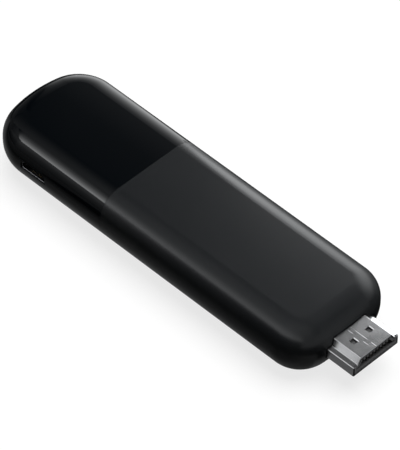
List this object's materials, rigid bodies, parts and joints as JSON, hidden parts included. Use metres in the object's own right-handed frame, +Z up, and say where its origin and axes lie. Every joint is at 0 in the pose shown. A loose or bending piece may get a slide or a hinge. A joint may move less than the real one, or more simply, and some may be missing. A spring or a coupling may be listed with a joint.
{
  "type": "streaming stick",
  "caption": "Slim rounded media player with a matte sleeve, a glossy end cap, a video plug at one end and a small side power port.",
  "frame": {"origin": "on the plane that the stick rests on, below the middle of its whole length with the plug", "axes": "+X along the stick towards the plug, +Z up from the rest face, -Y on the side of the power port"},
  "size_m": [0.1064, 0.03, 0.015],
  "materials": {
    "casing_matte": "fine satin texture",
    "casing_gloss": "high gloss",
    "plug_steel": "plated, satin",
    "black_moulding": "plain moulded",
    "contact_gold": "gold plated",
    "tinned_steel": "tin plated",
    "dark_nickel": "black nickel plated",
    "board_laminate": "solder mask",
    "chip_resin": "moulded epoxy",
    "thermal_gel": "soft",
    "spreader_aluminium": "die cast, blasted",
    "ferrite": "sintered",
    "capacitor_body": "fired ceramic",
    "antenna_bronze": "phosphor bronze"
  },
  "bodies": {
    "root": {"main_sleeve": "casing_matte", "end_cap": "casing_gloss", "plug_shell": "plug_steel", "plug_insulator": "black_moulding", "plug_lower_contacts": "contact_gold", "plug_upper_contacts": "contact_gold", "plug_bracket": "tinned_steel", "receptacle_shell": "dark_nickel", "receptacle_tongue": "black_moulding", "receptacle_contacts": "contact_gold", "main_board": "board_laminate", "board_carrier": "black_moulding", "carrier_screws": "tinned_steel", "main_processor": "chip_resin", "memory_chip": "chip_resin", "storage_chip": "chip_resin", "power_chip": "chip_resin", "upper_thermal_pads": "thermal_gel", "lower_thermal_pads": "thermal_gel", "upper_shield_frame": "tinned_steel", "upper_shield_lid": "tinned_steel", "lower_shield_frame": "tinned_steel", "lower_shield_lid": "tinned_steel", "upper_heat_spreader": "spreader_aluminium", "lower_heat_spreader": "spreader_aluminium", "wireless_module": "tinned_steel", "power_inductors": "ferrite", "reservoir_capacitors": "capacitor_body", "timing_crystals": "tinned_steel", "chip_capacitors": "capacitor_body", "chip_resistors": "chip_resin", "signal_filters": "ferrite", "left_antenna": "antenna_bronze", "right_antenna": "antenna_bronze"}
  },
  "joints": []
}
